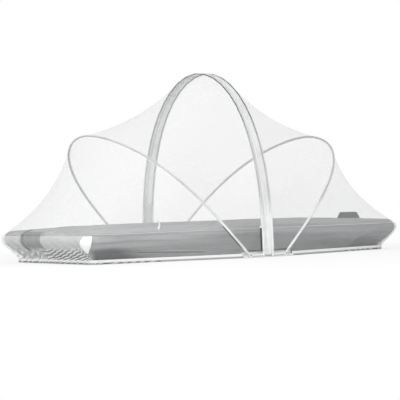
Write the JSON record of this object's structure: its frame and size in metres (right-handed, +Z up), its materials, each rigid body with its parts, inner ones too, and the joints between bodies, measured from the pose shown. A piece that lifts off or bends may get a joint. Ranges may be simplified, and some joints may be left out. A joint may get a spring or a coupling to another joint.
{
  "type": "pop-up mosquito net on a single mattress",
  "caption": "Free-standing sheer net tent on sprung wire hoops that fold down like two hoods from hinged hubs, closed by a zip at the middle and stretched over a grey single mattress.",
  "frame": {"origin": "centre of the floor sheet's underside, where the bed stands on the floor", "axes": "+X along the bed towards its right end, +Y from the zip's front side to the back, +Z up"},
  "size_m": [1.9262, 1.1096, 0.945],
  "materials": {
    "net_mesh": "sheer white mesh",
    "white_cloth": "matte woven binding",
    "mattress_cloth": "soft heather-grey knit",
    "handle_cloth": "matte dark-grey webbing",
    "hoop_wire": "satin grey",
    "pin_steel": "brushed",
    "hub_plastic": "moulded white",
    "zip_plastic": "moulded white"
  },
  "bodies": {
    "base": {"floor_sheet": "white_cloth", "mattress": "mattress_cloth", "mattress_piping": "white_cloth", "tie_tape": "white_cloth", "corner_patch": "white_cloth", "carry_handle_left": "handle_cloth", "base_rod_left": "hoop_wire", "hem_left": "white_cloth", "skirt_left": "net_mesh", "net_end_left": "net_mesh", "carry_handle_right": "handle_cloth", "base_rod_right": "hoop_wire", "hem_right": "white_cloth", "skirt_right": "net_mesh", "net_end_right": "net_mesh", "hinge_base_front": "hub_plastic", "hub_guard_front": "white_cloth", "pivot_pin_front_left": "pin_steel", "pivot_pin_front_right": "pin_steel", "hinge_base_back": "hub_plastic", "hub_guard_back": "white_cloth", "pivot_pin_back_left": "pin_steel", "pivot_pin_back_right": "pin_steel"},
    "end_left": {"end_hoop_left": "hoop_wire", "end_sleeve_left": "white_cloth", "end_socket_front_left": "hub_plastic", "end_socket_back_left": "hub_plastic"},
    "centre_left": {"centre_hoop_left": "hoop_wire", "centre_sleeve_left": "white_cloth", "centre_toe_front_left": "hub_plastic", "centre_toe_back_left": "hub_plastic", "zip_chain_left": "zip_plastic", "centre_band_left": "white_cloth", "net_roof_left": "net_mesh", "tie_tab": "white_cloth", "tie_strap": "handle_cloth"},
    "end_right": {"end_hoop_right": "hoop_wire", "end_sleeve_right": "white_cloth", "end_socket_front_right": "hub_plastic", "end_socket_back_right": "hub_plastic"},
    "centre_right": {"centre_hoop_right": "hoop_wire", "centre_sleeve_right": "white_cloth", "centre_toe_front_right": "hub_plastic", "centre_toe_back_right": "hub_plastic", "zip_chain_right": "zip_plastic", "centre_band_right": "white_cloth", "net_roof_right": "net_mesh"},
    "slider": {"zip_slider": "zip_plastic"},
    "pull": {"zip_pull": "zip_plastic"}
  },
  "joints": [
    {"name": "end_left_fold", "type": "hinge", "parent": "base", "child": "end_left", "pos_m": [-0.10822, 0, 0.0135], "axis": [0, -1, 0], "range_deg": [0, 27], "deforming": ["net_end_left"]},
    {"name": "centre_left_fold", "type": "hinge", "parent": "end_left", "child": "centre_left", "pos_m": [-0.10822, 0, 0.0135], "axis": [0, -1, 0], "range_deg": [0, 42], "deforming": ["net_roof_left"]},
    {"name": "end_right_fold", "type": "hinge", "parent": "base", "child": "end_right", "pos_m": [0.10822, 0, 0.0135], "axis": [0, 1, 0], "range_deg": [0, 27], "deforming": ["net_end_right"]},
    {"name": "centre_right_fold", "type": "hinge", "parent": "end_right", "child": "centre_right", "pos_m": [0.10822, 0, 0.0135], "axis": [0, 1, 0], "range_deg": [0, 42], "deforming": ["net_roof_right"]},
    {"name": "slider_slide", "type": "slide", "parent": "centre_right", "child": "slider", "axis": [0, 0.033, 0.9995], "range_m": [-0.03, 0.06]},
    {"name": "pull_swing", "type": "hinge", "parent": "slider", "child": "pull", "pos_m": [-0.01, -0.5521, 0.087], "axis": [-1, 0, 0], "range_deg": [0, 150]}
  ]
}
